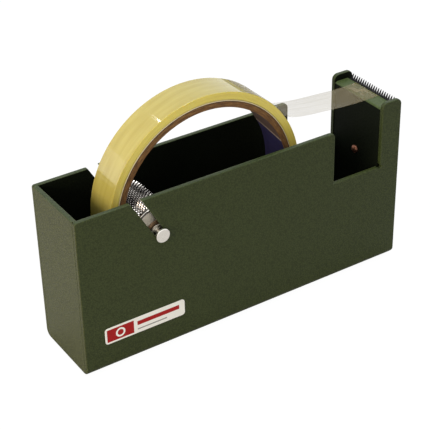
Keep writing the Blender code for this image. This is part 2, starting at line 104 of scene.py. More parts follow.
PAPER_GLOW, GLOW_SHARE = 1.05, 0.93
deselect()
bpy.ops.mesh.primitive_plane_add(size=6)
floor = bpy.context.object
floor.name = "floor"
paper = bpy.data.materials.new("studio_paper")
paper.use_nodes = True
paper_nodes, paper_links = paper.node_tree.nodes, paper.node_tree.links
paper_shader = paper_nodes["Principled BSDF"]
paper_shader.inputs["Base Color"].default_value = (0.72, 0.72, 0.72, 1)
paper_shader.inputs["Roughness"].default_value = 0.9
paper_shader.inputs["Specular IOR Level"].default_value = 0.0
lit_from_below = paper_nodes.new("ShaderNodeEmission")
lit_from_below.inputs["Strength"].default_value = PAPER_GLOW
paper_ray = paper_nodes.new("ShaderNodeLightPath")
part_lit = paper_nodes.new("ShaderNodeMath")
part_lit.operation = "MULTIPLY"
part_lit.inputs[1].default_value = GLOW_SHARE
paper_mix = paper_nodes.new("ShaderNodeMixShader")
paper_links.new(paper_ray.outputs["Is Camera Ray"], part_lit.inputs[0])
paper_links.new(part_lit.outputs[0], paper_mix.inputs["Fac"])
paper_links.new(paper_shader.outputs["BSDF"], paper_mix.inputs[1])
paper_links.new(lit_from_below.outputs["Emission"], paper_mix.inputs[2])
paper_links.new(paper_mix.outputs["Shader"], paper_nodes["Material Output"].inputs["Surface"])
floor.data.materials.append(paper)

# %% [markdown]
# A warm soft lamp stands on the closed end's side, so the end plate is the brightest face and the
# front panel stays deep green; the end plate's enamel also has light painted into it. Glossy film
# shows what stands round it: a low bright panel, whose edge makes a clear line on the tape, and a
# small lamp that makes the glint.


# %% Lamps
def soft_lamp(name, place, aim, width, height, power, colour):
    bpy.ops.object.light_add(type="AREA", location=place)
    lamp = bpy.context.object
    lamp.name = name
    lamp.rotation_euler = (Vector(place) - Vector(aim)).to_track_quat("Z", "Y").to_euler()
    lamp.data.shape = "RECTANGLE"
    lamp.data.size = width
    lamp.data.size_y = height
    lamp.data.energy = power
    lamp.data.color = colour
    print(name, "%.2f x %.2f m," % (width, height), power, "W")


WARM, WHITE_LIGHT = (1.0, 0.86, 0.72), (1.0, 1.0, 1.0)
OBJECT = (0, 0, 0.04)
PANEL_Z = 0.285
soft_lamp("lamp_side", (-0.84, -0.30, 0.34), OBJECT, 0.40, 0.30, 6.0, WARM)
soft_lamp("lamp_above", (0.10, 0.05, 1.00), OBJECT, 0.60, 0.60, 6.0, WHITE_LIGHT)
soft_lamp("lamp_glint", (-0.165, 0.806, 0.79), OBJECT, 0.040, 0.026, 0.065, WHITE_LIGHT)
soft_lamp("panel_behind", (-0.95, 1.10, PANEL_Z), (0, 0, PANEL_Z), 1.40, 0.42, 1.2, WHITE_LIGHT)

# %% [markdown]
# One even world would have to be dim to keep the inside of the box dark, and the metal would then
# have nothing to mirror. So the world has three strengths: white for the camera, dim for matt
# light, and bright for glossy rays. The Light Path node tells them apart.


# %% World
def sky(strength):
    light = nodes.new("ShaderNodeBackground")
    light.inputs["Color"].default_value = (1, 1, 1, 1)
    light.inputs["Strength"].default_value = strength
    return light.outputs["Background"]


def choose_by(ray_kind, otherwise, chosen):
    choice = nodes.new("ShaderNodeMixShader")
    links.new(ray.outputs[ray_kind], choice.inputs["Fac"])
    links.new(otherwise, choice.inputs[1])
    links.new(chosen, choice.inputs[2])
    return choice.outputs["Shader"]


SEEN, MATT_LIGHT, MIRRORED = 1.0, 0.38, 1.35
world = bpy.data.worlds.new("studio")
scene.world = world
world.use_nodes = True
nodes, links = world.node_tree.nodes, world.node_tree.links
ray = nodes.new("ShaderNodeLightPath")
lighting = choose_by("Is Glossy Ray", sky(MATT_LIGHT), sky(MIRRORED))
links.new(choose_by("Is Camera Ray", lighting, sky(SEEN)), nodes["World Output"].inputs["Surface"])
scene.view_settings.view_transform = "Standard"

# %% [markdown]
# ## Tools for modelling
#
# An operator acts on whatever is selected, so each piece starts by clearing the selection. Faces
# and edges are then picked by their place or direction. A finished piece has its place in its
# mesh and its object at the origin, as the CAD nodes have. Smoothing a rounded edge would also
# tilt the shading of the large faces beside it, so the normals are weighted by face area.


# %% Picking and finishing
def edit(piece, mode="FACE"):
    deselect()
    piece.select_set(True)
    bpy.context.view_layer.objects.active = piece
    bpy.ops.object.mode_set(mode="EDIT")
    bpy.ops.mesh.select_mode(type=mode)


def pick(piece, test, kind="faces"):
    """Select only the faces, edges or vertices for which the test holds."""
    bpy.ops.mesh.select_all(action="DESELECT")
    mesh = bmesh.from_edit_mesh(piece.data)
    for element in getattr(mesh, kind):
        if test(element):
            element.select_set(True)
    bmesh.update_edit_mesh(piece.data)


def finish_edit(merge=0.0):
    bpy.ops.mesh.select_all(action="SELECT")
    if merge:
        bpy.ops.mesh.remove_doubles(threshold=merge * MM)
    bpy.ops.mesh.normals_make_consistent(inside=False)
    bpy.ops.object.mode_set(mode="OBJECT")


def set_down(piece, name, materials, angle=35):
    """Apply the object's place, name it, give it its materials and smooth its gentle edges.

    An angle of 0 leaves every face flat."""
    deselect()
    piece.select_set(True)
    bpy.context.view_layer.objects.active = piece
    bpy.ops.object.transform_apply(location=True, rotation=True, scale=True)
    piece.name = name
    piece.data.name = name
    piece.data.materials.clear()
    for mat in materials:
        piece.data.materials.append(mat)
    if angle:
        bpy.ops.object.shade_smooth_by_angle(angle=radians(angle))
        even = piece.modifiers.new("even", "WEIGHTED_NORMAL")
        even.keep_sharp = True
        bpy.ops.object.modifier_apply(modifier="even")
    else:
        bpy.ops.object.shade_flat()
    print(name, len(piece.data.polygons), "faces")
    return piece


def rounded_copy(node, width, segments=2, clamp=False):
    """A copy of a CAD node with whole faces and its sharp edges rounded."""
    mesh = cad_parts[node].data.copy()
    piece = bpy.data.objects.new(node + "_copy", mesh)
    scene.collection.objects.link(piece)
    edit(piece)
    bpy.ops.mesh.select_all(action="SELECT")
    bpy.ops.mesh.remove_doubles(threshold=0.001 * MM)
    bpy.ops.mesh.dissolve_limited(angle_limit=radians(1))
    bpy.ops.object.mode_set(mode="OBJECT")
    soften = piece.modifiers.new("soften", "BEVEL")
    soften.width = width * MM
    soften.segments = segments
    soften.limit_method = "ANGLE"
    soften.angle_limit = radians(30)
    soften.use_clamp_overlap = clamp
    bpy.ops.object.modifier_apply(modifier="soften")
    return piece


def place_in(piece, body, node):
    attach(piece, body)
    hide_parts(node)


# %% [markdown]
# Round pieces are made as on a lathe: a circle is extruded along its axis and resized at each
# step of the profile. Spinning a drawn profile would do as well, but extruding keeps the steps
# readable as a list. A solid piece starts and ends with a filled face, and a ring's last step
# meets its first.


# %% Turning a piece
def turned(centre, profile, segments=96, ring=False):
    """Turn about a line along Y through centre. The profile is (distance along Y, radius)."""
    along, radius = profile[0]
    deselect()
    bpy.ops.mesh.primitive_circle_add(
        vertices=segments, radius=radius * MM, fill_type="NOTHING" if ring else "NGON",
        location=centre + Vector((0, along * MM, 0)), rotation=(pi / 2, 0, 0))
    piece = bpy.context.object
    edit(piece, "EDGE" if ring else "FACE")
    bpy.ops.mesh.select_all(action="SELECT")
    for next_along, next_radius in profile[1:]:
        step = (0, (next_along - along) * MM, 0)
        if ring:
            bpy.ops.mesh.extrude_edges_move(TRANSFORM_OT_translate={"value": step})
        else:
            bpy.ops.mesh.extrude_region_move(TRANSFORM_OT_translate={"value": step})
        share = next_radius / radius
        bpy.ops.transform.resize(value=(share, 1, share),
                                 center_override=centre + Vector((0, next_along * MM, 0)))
        along, radius = next_along, next_radius
    finish_edit(0.002)
    return piece


def mirrored(half):
    """A profile's other half, so that both ends are alike."""
    return half + [(-along, radius) for along, radius in reversed(half)]


# %% [markdown]
# ## Tools for materials
#
# Nodes are added by short helpers, so that a finish reads as a recipe. Effects that several
# finishes share are node groups: speckled cells, wear and painted highlight along edges, drawn
# lines, and the place on the roll that rings and windings are drawn from.


# %% Node helpers
def add(tree, kind, values=None, **settings):
    node = tree.nodes.new(kind)
    for key, value in settings.items():
        setattr(node, key, value)
    for key, value in (values or {}).items():
        node.inputs[key].default_value = value
    return node


def join(tree, *pairs):
    for source, target in pairs:
        tree.links.new(source, target)


def calculate(tree, operation, first, second=0.0):
    node = add(tree, "ShaderNodeMath", operation=operation)
    for socket, value in zip(node.inputs, (first, second)):
        if isinstance(value, (int, float)):
            socket.default_value = value
        else:
            tree.links.new(value, socket)
    return node.outputs[0]


def squared_length(tree, first, second):
    """The sum of the squares of two sockets."""
    return calculate(tree, "ADD", calculate(tree, "MULTIPLY", first, first),
                     calculate(tree, "MULTIPLY", second, second))


# %% Colour helpers
def ramp(tree, source, stops):
    node = add(tree, "ShaderNodeValToRGB")
    elements = node.color_ramp.elements
    while len(elements) < len(stops):
        elements.new(0.5)
    for element, (position, colour) in zip(elements, stops):
        element.position = position
        element.color = colour if len(colour) == 4 else (*colour, 1)
    join(tree, (source, node.inputs["Fac"]))
    return node.outputs["Color"]


def mix(tree, factor, first, second):
    """Mix two colours, each a plain colour or a socket."""
    node = add(tree, "ShaderNodeMix", data_type="RGBA")
    sockets = node.inputs[0], node.inputs[6], node.inputs[7]
    for socket, value in zip(sockets, (factor, first, second)):
        if isinstance(value, (int, float)):
            socket.default_value = value
        elif isinstance(value, tuple):
            socket.default_value = (*value, 1)
        else:
            tree.links.new(value, socket)
    return node.outputs[2]


# %% Group and material helpers
def new_group(name, inputs, outputs):
    """A node group with its inputs' defaults and its outputs' kinds."""
    group = bpy.data.node_groups.new(name, "ShaderNodeTree")
    for label, default in inputs.items():
        kind = "NodeSocketColor" if isinstance(default, tuple) else "NodeSocketFloat"
        socket = group.interface.new_socket(label, in_out="INPUT", socket_type=kind)
        socket.default_value = (*default, 1) if isinstance(default, tuple) else default
    for label, kind in outputs.items():
        group.interface.new_socket(label, in_out="OUTPUT", socket_type="NodeSocket" + kind)
    entry = group.nodes.new("NodeGroupInput")
    leave = group.nodes.new("NodeGroupOutput")
    return group, entry.outputs, leave.inputs


def use_group(tree, group, **values):
    node = add(tree, "ShaderNodeGroup", node_tree=group)
    for label, value in values.items():
        socket = node.inputs[label.replace("_", " ")]
        socket.default_value = (*value, 1) if isinstance(value, tuple) else value
    return node.outputs


def new_material(name, roughness, metallic=0.0, **sockets):
    """A material with a Principled shader; further sockets are named with underscores."""
    mat = bpy.data.materials.new(name)
    mat.use_nodes = True
    shader = mat.node_tree.nodes["Principled BSDF"]
    shader.inputs["Roughness"].default_value = roughness
    shader.inputs["Metallic"].default_value = metallic
    for label, value in sockets.items():
        shader.inputs[label.replace("_", " ")].default_value = value
    return mat, mat.node_tree, shader


def bump(tree, shader, height, strength, distance):
    node = add(tree, "ShaderNodeBump", {"Strength": strength, "Distance": distance * MM})
    join(tree, (height, node.inputs["Height"]), (node.outputs["Normal"], shader.inputs["Normal"]))


# %% [markdown]
# Hammered enamel dries into small shallow cells, with the pigment darker between them. Cells of
# a Voronoi pattern, warped by noise, give both the speckle and the surface's height.


# %% Group: speckled cells
WARP = 0.6 * MM
cells, given, result = new_group(
    "speckled_cells", {"Scale": 900.0, "Dark": (0.03, 0.03, 0.01), "Light": (0.05, 0.06, 0.02)},
    {"Color": "Color", "Height": "Float"})
place_node = add(cells, "ShaderNodeTexCoord")
warp = add(cells, "ShaderNodeTexNoise", {"Scale": 500.0, "Detail": 2.0})
bend = add(cells, "ShaderNodeVectorMath", {1: (WARP, WARP, WARP)}, operation="MULTIPLY_ADD")
voronoi = add(cells, "ShaderNodeTexVoronoi", {"Smoothness": 0.6}, feature="SMOOTH_F1")
grain = add(cells, "ShaderNodeTexNoise", {"Scale": 2600.0, "Detail": 3.0, "Roughness": 0.7})
join(cells, (place_node.outputs["Object"], warp.inputs["Vector"]),
     (warp.outputs["Color"], bend.inputs[0]), (place_node.outputs["Object"], bend.inputs[2]),
     (bend.outputs["Vector"], voronoi.inputs["Vector"]), (given["Scale"], voronoi.inputs["Scale"]),
     (place_node.outputs["Object"], grain.inputs["Vector"]))
speck = calculate(cells, "ADD", calculate(cells, "MULTIPLY", voronoi.outputs["Distance"], 0.9),
                  calculate(cells, "MULTIPLY", grain.outputs["Fac"], 0.7))
contrast = ramp(cells, speck, [(0.45, (0, 0, 0)), (0.95, (1, 1, 1))])
join(cells, (mix(cells, contrast, given["Light"], given["Dark"]), result["Color"]),
     (contrast, result["Height"]))

# %% [markdown]
# Paint wears first where a sheet's edge is touched, and the lighter line along the edges is also a
# painted highlight of the light on the rounded rims. The Bevel node reports a softened normal, and
# where that differs from the true one there is an edge. Noise breaks the line into nicks.

# %% Group: wear and painted highlight along edges
EDGE_GAIN, UNBROKEN = 16.0, 0.35
wear, given, result = new_group("edge_wear_and_highlight", {"Width": 0.5, "Amount": 0.5}, {"Mask": "Float"})
softened = add(wear, "ShaderNodeBevel", samples=4)
join(wear, (calculate(wear, "MULTIPLY", given["Width"], MM), softened.inputs["Radius"]))
true_normal = add(wear, "ShaderNodeNewGeometry")
alike = add(wear, "ShaderNodeVectorMath", operation="DOT_PRODUCT")
join(wear, (softened.outputs["Normal"], alike.inputs[0]),
     (true_normal.outputs["Normal"], alike.inputs[1]))
edge = calculate(wear, "SUBTRACT", 1.0, alike.outputs["Value"])
chips = add(wear, "ShaderNodeTexNoise", {"Scale": 700.0, "Detail": 4.0, "Roughness": 0.65})
wear_place = add(wear, "ShaderNodeTexCoord")
join(wear, (wear_place.outputs["Object"], chips.inputs["Vector"]))
broken = calculate(wear, "MULTIPLY", calculate(wear, "MULTIPLY", edge, EDGE_GAIN),
                   calculate(wear, "SUBTRACT", chips.outputs["Fac"], UNBROKEN))
limited = calculate(wear, "MINIMUM", calculate(wear, "MAXIMUM", broken, 0.0), 1.0)
join(wear, (calculate(wear, "MULTIPLY", limited, given["Amount"]), result["Mask"]))

# %% [markdown]
# Turned and drawn metal keeps fine lines from the tool. Stretching noise along one direction
# gives lines of uneven depth, and the direction is chosen by the group's stretch values.

# %% Group: drawn lines
drawn, given, result = new_group(
    "drawn_lines", {"Along X": 1.0, "Along Y": 1.0, "Along Z": 1.0, "Scale": 900.0},
    {"Value": "Float"})
drawn_place = add(drawn, "ShaderNodeTexCoord")
stretch = add(drawn, "ShaderNodeCombineXYZ")
squeeze = add(drawn, "ShaderNodeVectorMath", operation="MULTIPLY")
lines = add(drawn, "ShaderNodeTexNoise", {"Detail": 3.0, "Roughness": 0.6})
join(drawn, (given["Along X"], stretch.inputs[0]), (given["Along Y"], stretch.inputs[1]),
     (given["Along Z"], stretch.inputs[2]), (drawn_place.outputs["Object"], squeeze.inputs[0]),
     (stretch.outputs["Vector"], squeeze.inputs[1]),
     (squeeze.outputs["Vector"], lines.inputs["Vector"]),
     (given["Scale"], lines.inputs["Scale"]), (lines.outputs["Fac"], result["Value"]))

# %% [markdown]
# The roll's side shows its windings and the core its plies, as rings about the roll's middle.
# The group measures the distance from that middle and the angle round it.

# %% Group: place on the roll
low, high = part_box("tape_wound")
ROLL_MIDDLE = (low + high) / 2
ROLL_R = (high.z - low.z) / 2
TAPE_W = high.y - low.y
core_low, core_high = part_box("tape_core")
CORE_R = (core_high.z - core_low.z) / 2
CORE_WALL = 3.0 * MM
CORE_BORE_R = CORE_R - CORE_WALL
print("roll radius %.1f mm, tape %.1f mm wide" % (ROLL_R / MM, TAPE_W / MM))

polar, given, result = new_group(
    "place_on_roll", {}, {"Radius": "Float", "Angle": "Float", "Across": "Float"})
polar_place = add(polar, "ShaderNodeTexCoord")
centred = add(polar, "ShaderNodeVectorMath", {1: tuple(ROLL_MIDDLE)}, operation="SUBTRACT")
parts = add(polar, "ShaderNodeSeparateXYZ")
join(polar, (polar_place.outputs["Object"], centred.inputs[0]),
     (centred.outputs["Vector"], parts.inputs[0]))
squares = squared_length(polar, parts.outputs["X"], parts.outputs["Z"])
join(polar, (calculate(polar, "SQRT", squares), result["Radius"]),
     (calculate(polar, "ARCTAN2", parts.outputs["Z"], parts.outputs["X"]), result["Angle"]),
     (parts.outputs["Y"], result["Across"]))


# %% [markdown]
# ## Finishes
#
# The enamel on the outside is mid green with darker and lighter cells. Little light reaches the
# inside, and that shade is painted into the inner faces' enamel, so they are nearly black. The cut
# rims carry thinner paint over bright steel and show more wear, and their lighter edge lines are
# partly a painted highlight. The closed end has a lighter, browner copy of the enamel, with the side
# light painted into it.


# %% Enamel
CELLS_PER_METRE, WEAR_WIDTH, HAMMER_DEPTH = 1700.0, 0.6, 0.12
# Edge colours: lighter lines that are partly wear and partly a painted highlight on the rims.
WORN_AND_LIT_GREEN, WORN_AND_LIT_RIM, WORN_BLACK = (0.20, 0.24, 0.12), (0.34, 0.38, 0.16), (0.01, 0.012, 0.008)


def enamel(name, dark, light, roughness, wear_and_highlight_amount, grain_height, worn_and_lit=WORN_AND_LIT_GREEN, shine=0.16):
    mat, tree, shader = new_material(name, roughness, Specular_IOR_Level=shine)
    surface = use_group(tree, cells, Scale=CELLS_PER_METRE, Dark=dark, Light=light)
    edge_mask = use_group(tree, wear, Width=WEAR_WIDTH, Amount=wear_and_highlight_amount)
    join(tree, (mix(tree, edge_mask["Mask"], surface["Color"], worn_and_lit), shader.inputs["Base Color"]))
    bump(tree, shader, surface["Height"], grain_height, HAMMER_DEPTH)
    return mat


green_outside = enamel("green_enamel_outside", (0.026, 0.036, 0.010), (0.048, 0.064, 0.018),
                       0.42, 0.35, 0.35)
green_rim = enamel("green_enamel_rim", (0.021, 0.033, 0.010), (0.044, 0.065, 0.020),
                   0.38, 0.45, 0.30, WORN_AND_LIT_RIM)
# The closed end's enamel is a lighter, browner copy of the outside enamel: painted light from the side.
green_end_painted_light = enamel("green_enamel_end_painted_light", (0.030, 0.035, 0.010), (0.078, 0.087, 0.026),
                   0.42, 0.35, 0.45)
green_platform = enamel("green_enamel_platform", (0.040, 0.064, 0.019), (0.080, 0.114, 0.038),
                        0.40, 0.4, 0.3)
# Near-black enamel for every inner face: the shade inside the deep box, painted into the colour.
inside_painted_shade = enamel("enamel_inside_painted_shade", (0.0036, 0.0050, 0.0028), (0.0064, 0.0090, 0.0048),
                      0.65, 0.1, 0.3, WORN_BLACK, 0.04)

# %% [markdown]
# The metals differ in colour and in how they were worked. Nickel plate is bright with faint
# turning lines, the bushes are brown bronze, the blade is blackened steel, the rivet is coppered
# and the ballast is raw rolled steel with scale. One function makes them all from two colours
# and a direction for the lines.


# %% Metals
LINE_ROUGHNESS = 0.16


def metal(name, colour, dark, roughness, stretch_by=(1.0, 1.0, 1.0), scale=900.0, depth=0.02):
    mat, tree, shader = new_material(name, roughness, 1.0)
    marks = use_group(tree, drawn, Along_X=stretch_by[0], Along_Y=stretch_by[1],
                      Along_Z=stretch_by[2], Scale=scale)
    join(tree, (mix(tree, marks["Value"], dark, colour), shader.inputs["Base Color"]))
    rough = calculate(tree, "ADD", calculate(tree, "MULTIPLY", marks["Value"], LINE_ROUGHNESS),
                      roughness - LINE_ROUGHNESS / 2)
    join(tree, (rough, shader.inputs["Roughness"]))
    bump(tree, shader, marks["Value"], 0.3, depth)
    return mat


nickel = metal("nickel_plate_turned", (0.86, 0.84, 0.78), (0.66, 0.64, 0.59), 0.24)
knurled = metal("nickel_plate_knurled", (0.62, 0.58, 0.55), (0.34, 0.31, 0.30), 0.26, scale=400.0)
turned_end = metal("nickel_plate_dull", (0.60, 0.56, 0.48), (0.42, 0.39, 0.33), 0.42)
# Near-black nickel for the roller's groove and chamfer: painted shade and a painted dark reflection.
painted_dark_nickel = metal("nickel_painted_shade_and_reflection", (0.075, 0.065, 0.055), (0.035, 0.030, 0.026), 0.45)
bronze = metal("bronze_bush", (0.36, 0.23, 0.14), (0.18, 0.12, 0.075), 0.36)
blade_black = metal("blackened_blade", (0.020, 0.020, 0.021), (0.008, 0.008, 0.009), 0.42,
                    (1.0, 0.06, 1.0))
copper = metal("coppered_rivet", (0.22, 0.095, 0.06), (0.11, 0.05, 0.032), 0.40)
raw_steel = metal("rolled_steel", (0.17, 0.165, 0.16), (0.07, 0.07, 0.07), 0.50, (0.05, 1.0, 1.0),
                  300.0, 0.05)
blade_shader = blade_black.node_tree.nodes["Principled BSDF"]
blade_shader.inputs["Metallic"].default_value = 0.1
blade_shader.inputs["Specular IOR Level"].default_value = 0.2
print("metals:", [m.name for m in (nickel, turned_end, painted_dark_nickel, knurled, bronze, blade_black, copper,
                                   raw_steel)])

# %% [markdown]
# The knurl is painted darker towards the bottom of its grooves, which is painted shade, and lighter
# at its tips. The shader gets the groove's depth from the distance to the axle, so the axle's place
# and the knurl's size are taken here, before the roller itself is made.

# %% Painted shade in the knurl's grooves
axle_low, axle_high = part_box("spindle_axle")
AXLE_AT = Vector(((axle_low.x + axle_high.x) / 2, 0, (axle_low.z + axle_high.z) / 2))
drum_low, drum_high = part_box("roller_drum")
DRUM_R = (drum_high.z - drum_low.z) / 2 / MM
KNURLS, KNURL_DEPTH = 40, 0.55

tree = knurled.node_tree
knurl_place = add(tree, "ShaderNodeTexCoord")
from_axle = add(tree, "ShaderNodeVectorMath", {1: tuple(AXLE_AT)}, operation="SUBTRACT")
flat = add(tree, "ShaderNodeVectorMath", {1: (1.0, 0.0, 1.0)}, operation="MULTIPLY")
reach = add(tree, "ShaderNodeVectorMath", operation="LENGTH")
join(tree, (knurl_place.outputs["Object"], from_axle.inputs[0]), (from_axle.outputs[0], flat.inputs[0]),
     (flat.outputs[0], reach.inputs[0]))
above_groove = calculate(tree, "SUBTRACT", reach.outputs["Value"], (DRUM_R - KNURL_DEPTH) * MM)
height = calculate(tree, "DIVIDE", above_groove, KNURL_DEPTH * MM)
# Colour by depth: painted shade low in the grooves, lighter at the tips.
painted_groove_shade = ramp(tree, height, [(0.25, (0.10, 0.092, 0.085)), (0.50, (0.64, 0.60, 0.55)),
                                (0.70, (0.95, 0.92, 0.87))])
join(tree, (painted_groove_shade, tree.nodes["Principled BSDF"].inputs["Base Color"]))
print("roller radius %.1f mm, knurl %.2f mm deep" % (DRUM_R, KNURL_DEPTH))

# %% [markdown]
# Rubber is matt black with a dusty bloom, so its colour and roughness vary a little.

# %% Rubber
rubber, tree, shader = new_material("black_rubber_feet", 0.8)
bloom = add(tree, "ShaderNodeTexNoise", {"Scale": 400.0, "Detail": 4.0})
rubber_place = add(tree, "ShaderNodeTexCoord")
join(tree, (rubber_place.outputs["Object"], bloom.inputs["Vector"]),
     (ramp(tree, bloom.outputs["Fac"], [(0.3, (0.010, 0.010, 0.010)), (0.8, (0.035, 0.035, 0.034))]),
      shader.inputs["Base Color"]))
bump(tree, shader, bloom.outputs["Fac"], 0.4, 0.05)

# %% [markdown]
# The tape is clear film with yellow adhesive, wound hundreds of turns deep. Light goes a little
# way in, which subsurface scattering gives, and the outside is as glossy as the film. The side
# is more saturated than the outside because it shows the glue between the turns.

# %% Outside of the wound tape
wound_face, tree, shader = new_material("wound_film_outside", 0.05, Specular_IOR_Level=0.55,
                                        Subsurface_Weight=0.20, Subsurface_Scale=0.002)
shader.inputs["Subsurface Radius"].default_value = (1.0, 0.8, 0.25)
on_roll = use_group(tree, polar)
across_lines = add(tree, "ShaderNodeTexNoise", {"Scale": 1.0, "Detail": 3.0}, noise_dimensions="2D")
streak_place = add(tree, "ShaderNodeCombineXYZ")
join(tree, (calculate(tree, "MULTIPLY", on_roll["Angle"], 2.2), streak_place.inputs[0]),
     (calculate(tree, "MULTIPLY", on_roll["Across"], 420.0), streak_place.inputs[1]),
     (streak_place.outputs["Vector"], across_lines.inputs["Vector"]),
     (ramp(tree, across_lines.outputs["Fac"], [(0.3, (0.43, 0.355, 0.075)),
                                               (0.7, (0.49, 0.42, 0.105))]),
      shader.inputs["Base Color"]))
bump(tree, shader, across_lines.outputs["Fac"], 0.05, 0.006)

# %% Side of the wound tape
wound_side, tree, shader = new_material("wound_film_side", 0.30, Specular_IOR_Level=0.45,
                                        Subsurface_Weight=0.20, Subsurface_Scale=0.002)
shader.inputs["Subsurface Radius"].default_value = (1.0, 0.8, 0.2)
on_roll = use_group(tree, polar)
turns = add(tree, "ShaderNodeTexNoise", {"Scale": 1.0, "Detail": 4.0, "Roughness": 0.7},
            noise_dimensions="2D")
turn_place = add(tree, "ShaderNodeCombineXYZ")
join(tree, (calculate(tree, "MULTIPLY", on_roll["Radius"], 4200.0), turn_place.inputs[0]),
     (calculate(tree, "MULTIPLY", on_roll["Angle"], 1.2), turn_place.inputs[1]),
     (turn_place.outputs["Vector"], turns.inputs["Vector"]),
     (ramp(tree, turns.outputs["Fac"], [(0.25, (0.56, 0.44, 0.07)), (0.5, (0.72, 0.61, 0.12)),
                                        (0.8, (0.84, 0.75, 0.20))]), shader.inputs["Base Color"]))
bump(tree, shader, turns.outputs["Fac"], 0.35, 0.06)

# %% [markdown]
# The loose end is one layer of film with its adhesive. Both faces let most light through, and
# faint streaks along the tape make it visible. Where it lies on the platform, air is trapped
# under it in blisters. Alpha is used, not transmission, because the film is too thin to bend light.

# %% Clear film
FILM_HAZE, BLISTER_WHITE = 0.10, 0.22
film, tree, shader = new_material("clear_film_tail", 0.18, Specular_IOR_Level=0.5)
film_place = add(tree, "ShaderNodeTexCoord")
streaks = use_group(tree, drawn, Along_X=0.04, Along_Y=1.0, Along_Z=0.2, Scale=700.0)
bubbles = add(tree, "ShaderNodeTexNoise", {"Scale": 900.0, "Detail": 3.0, "Roughness": 0.7})
join(tree, (film_place.outputs["Object"], bubbles.inputs["Vector"]),
     (mix(tree, streaks["Value"], (0.22, 0.175, 0.075), (0.35, 0.29, 0.13)),
      shader.inputs["Base Color"]))
see = calculate(tree, "ADD", calculate(tree, "MULTIPLY", streaks["Value"], 0.16),
                calculate(tree, "MULTIPLY", bubbles.outputs["Fac"], 0.06))
bracket_low, bracket_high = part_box("cutter_bracket")
blisters = add(tree, "ShaderNodeTexNoise", {"Scale": 260.0, "Detail": 3.0, "Distortion": 1.2})
film_split = add(tree, "ShaderNodeSeparateXYZ")
join(tree, (film_place.outputs["Object"], blisters.inputs["Vector"]),
     (film_place.outputs["Object"], film_split.inputs[0]))
stuck = calculate(tree, "GREATER_THAN", film_split.outputs["X"], bracket_low.x)
lifted = calculate(tree, "GREATER_THAN", blisters.outputs["Fac"], 0.52)
blistered = calculate(tree, "MULTIPLY", calculate(tree, "MULTIPLY", stuck, lifted), BLISTER_WHITE)
see = calculate(tree, "ADD", see, blistered)
join(tree, (calculate(tree, "ADD", see, FILM_HAZE), shader.inputs["Alpha"]))
bump(tree, shader, calculate(tree, "ADD", streaks["Value"], bubbles.outputs["Fac"]), 0.35, 0.10)

# %% [markdown]
# The core is brown board wound from strips. Its ends show the plies as rings and a dark rough
# grain, with a dark glued ply and the pale first turn of tape at the outside.

# %% Card ends
DARK_PLY, FIRST_TURN = 0.65 * MM, 0.35 * MM
card_end, tree, shader = new_material("card_core_end", 0.85)
on_roll = use_group(tree, polar)
plies = add(tree, "ShaderNodeTexNoise", {"Scale": 1.0, "Detail": 5.0, "Roughness": 0.75},
            noise_dimensions="2D")
ply_place = add(tree, "ShaderNodeCombineXYZ")
join(tree, (calculate(tree, "MULTIPLY", on_roll["Radius"], 1900.0), ply_place.inputs[0]),
     (calculate(tree, "MULTIPLY", on_roll["Angle"], 9.0), ply_place.inputs[1]),
     (ply_place.outputs["Vector"], plies.inputs["Vector"]))
board = ramp(tree, plies.outputs["Fac"], [(0.30, (0.040, 0.018, 0.005)), (0.52, (0.150, 0.068, 0.016)),
                                          (0.75, (0.30, 0.17, 0.05))])
dark_ply = calculate(tree, "GREATER_THAN", on_roll["Radius"], CORE_R - DARK_PLY)
first_turn = calculate(tree, "GREATER_THAN", on_roll["Radius"], CORE_R - FIRST_TURN)
lined = mix(tree, first_turn, mix(tree, dark_ply, board, (0.040, 0.020, 0.008)), (0.72, 0.62, 0.38))
join(tree, (lined, shader.inputs["Base Color"]))
bump(tree, shader, plies.outputs["Fac"], 0.6, 0.15)

# %% [markdown]
# The liner inside is dark blue, and because it is wound as a screw the seam between its strips
# runs slanting across the width. The angle round the roll, less a share of the place across it,
# tells how far along a strip each point is.

# %% Card liner
STRIPS_ROUND, SEAM_AT, SEAM_SLANT = 3, radians(24.6), 8.5
BOARD, CREAM, BLUE = (0.085, 0.056, 0.042), (0.42, 0.34, 0.24), (0.010, 0.010, 0.052)
card_liner, tree, shader = new_material("card_core_liner", 0.55)
on_roll = use_group(tree, polar)
slant = calculate(tree, "MULTIPLY", on_roll["Across"], SEAM_SLANT)
from_seam = calculate(tree, "SUBTRACT", calculate(tree, "SUBTRACT", on_roll["Angle"], slant), SEAM_AT)
strips = calculate(tree, "MULTIPLY", from_seam, STRIPS_ROUND / (2 * pi))
along_strip = calculate(tree, "FRACT", strips)
printed = ramp(tree, along_strip, [(0.0, CREAM), (0.008, CREAM), (0.012, BOARD), (0.400, BOARD),
                                   (0.404, CREAM), (0.412, CREAM), (0.416, BLUE), (1.0, BLUE)])
fibres = add(tree, "ShaderNodeTexNoise", {"Scale": 600.0, "Detail": 4.0})
liner_place = add(tree, "ShaderNodeTexCoord")
join(tree, (liner_place.outputs["Object"], fibres.inputs["Vector"]),
     (mix(tree, calculate(tree, "MULTIPLY", fibres.outputs["Fac"], 0.35), printed, (0.03, 0.02, 0.03)),
      shader.inputs["Base Color"]))
bump(tree, shader, fibres.outputs["Fac"], 0.25, 0.05)

# %% [markdown]
# ## Box
#
# The box is one sheet folded up at both long sides. The copy of its solid gets rounded sheet
# edges, which catch the light along every rim, slot and notch. Faces are then given the outside,
# rim or inside enamel by where they lie.

